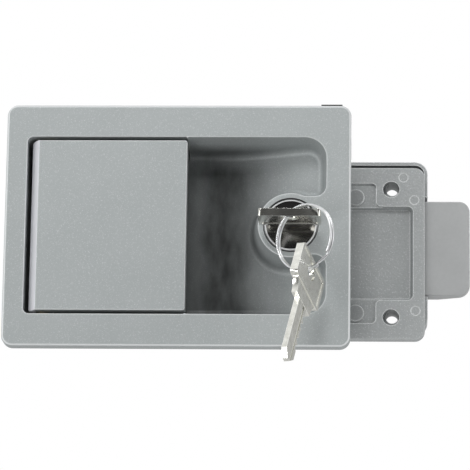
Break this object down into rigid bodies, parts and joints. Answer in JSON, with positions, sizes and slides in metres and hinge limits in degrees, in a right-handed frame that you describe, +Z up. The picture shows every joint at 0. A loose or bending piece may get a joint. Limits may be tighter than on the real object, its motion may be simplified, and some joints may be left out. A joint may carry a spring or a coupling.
{
  "type": "paddle latch",
  "caption": "Flush paddle latch: recessed pan with hinged paddle, keyed cylinder with two ringed keys, and a rear case whose sprung bolt the paddle draws back.",
  "frame": {"origin": "centre of the pan flange's outline on the gasket's rear face, the face that lies on the panel", "axes": "+X towards the bolt tip, +Y into the panel, away from the user, +Z up"},
  "size_m": [0.1889, 0.0999, 0.116],
  "materials": {
    "silver_paint": "metallic silver-grey paint, satin, fine sparkle",
    "zinc_plate": "satin plated",
    "bolt_nickel": "satin nickel plated",
    "bright_chrome": "polished",
    "dark_chrome": "polished mirror",
    "key_nickel": "polished, light handling marks",
    "plain_steel": "bright zinc, turned",
    "spring_steel": "drawn wire",
    "bronze": "stamped",
    "gasket_rubber": "matt black foam rubber"
  },
  "bodies": {
    "frame": {"pan": "silver_paint", "gasket": "gasket_rubber", "hinge_pin": "plain_steel", "hinge_washers": "bronze", "paddle_spring": "spring_steel", "lock_barrel": "bright_chrome", "barrel_nut": "zinc_plate", "case_front": "silver_paint", "case_cover": "zinc_plate", "case_rivets": "plain_steel", "case_screws": "plain_steel", "lever_pin": "plain_steel", "lever_spacer": "plain_steel", "spring_guide": "plain_steel", "bolt_spring": "spring_steel"},
    "paddle_unit": {"paddle": "silver_paint", "paddle_arm": "zinc_plate", "arm_screws": "plain_steel"},
    "lever_unit": {"reversing_lever": "zinc_plate", "drive_pin": "plain_steel"},
    "bolt_unit": {"bolt": "bolt_nickel"},
    "plug_unit": {"lock_plug": "dark_chrome", "wafers": "bronze", "stop_washer": "zinc_plate", "lock_cam": "zinc_plate", "cam_screw": "plain_steel"},
    "key_unit": {"inserted_key": "key_nickel"},
    "ring_unit": {"split_ring": "bright_chrome"},
    "spare_unit": {"spare_key": "key_nickel"}
  },
  "joints": [
    {"name": "paddle_swing", "type": "hinge", "parent": "frame", "child": "paddle_unit", "pos_m": [-0.054, 0.0018, 0], "axis": [0, 0, -1], "range_deg": [0, 27], "stiffness_Nm_per_rad": 0.35, "springref_deg": -17.19, "deforming": ["paddle_spring"]},
    {"name": "lever_swing", "type": "hinge", "parent": "frame", "child": "lever_unit", "pos_m": [-0.03822, 0.03545, 0], "axis": [0, 1, 0], "range_deg": [0, 71.78]},
    {"name": "bolt_slide", "type": "slide", "parent": "frame", "child": "bolt_unit", "axis": [-1, 0, 0], "range_m": [0, 0.017], "deforming": ["bolt_spring"]},
    {"name": "lock_turn", "type": "hinge", "parent": "frame", "child": "plug_unit", "pos_m": [0.0458, 0, 0], "axis": [0, -1, 0], "range_deg": [-90, 0]},
    {"name": "key_slide", "type": "slide", "parent": "plug_unit", "child": "key_unit", "axis": [0, -1, 0], "range_m": [0, 0.03]},
    {"name": "ring_swing", "type": "hinge", "parent": "key_unit", "child": "ring_unit", "pos_m": [0.0458, -0.024, 0], "axis": [0.8192, -0.5736, 0], "range_deg": [-5, 6]},
    {"name": "spare_key_swing", "type": "hinge", "parent": "ring_unit", "child": "spare_unit", "pos_m": [0.05408, -0.0298, -0.02318], "axis": [0.8192, -0.5736, 0], "range_deg": [-10, 45]}
  ],
  "couplings": [
    {"joint": "lever_swing", "follows": "paddle_swing", "ratio": 2.6584},
    {"joint": "bolt_slide", "follows": "paddle_swing", "m_per_rad": 0.036075}
  ]
}
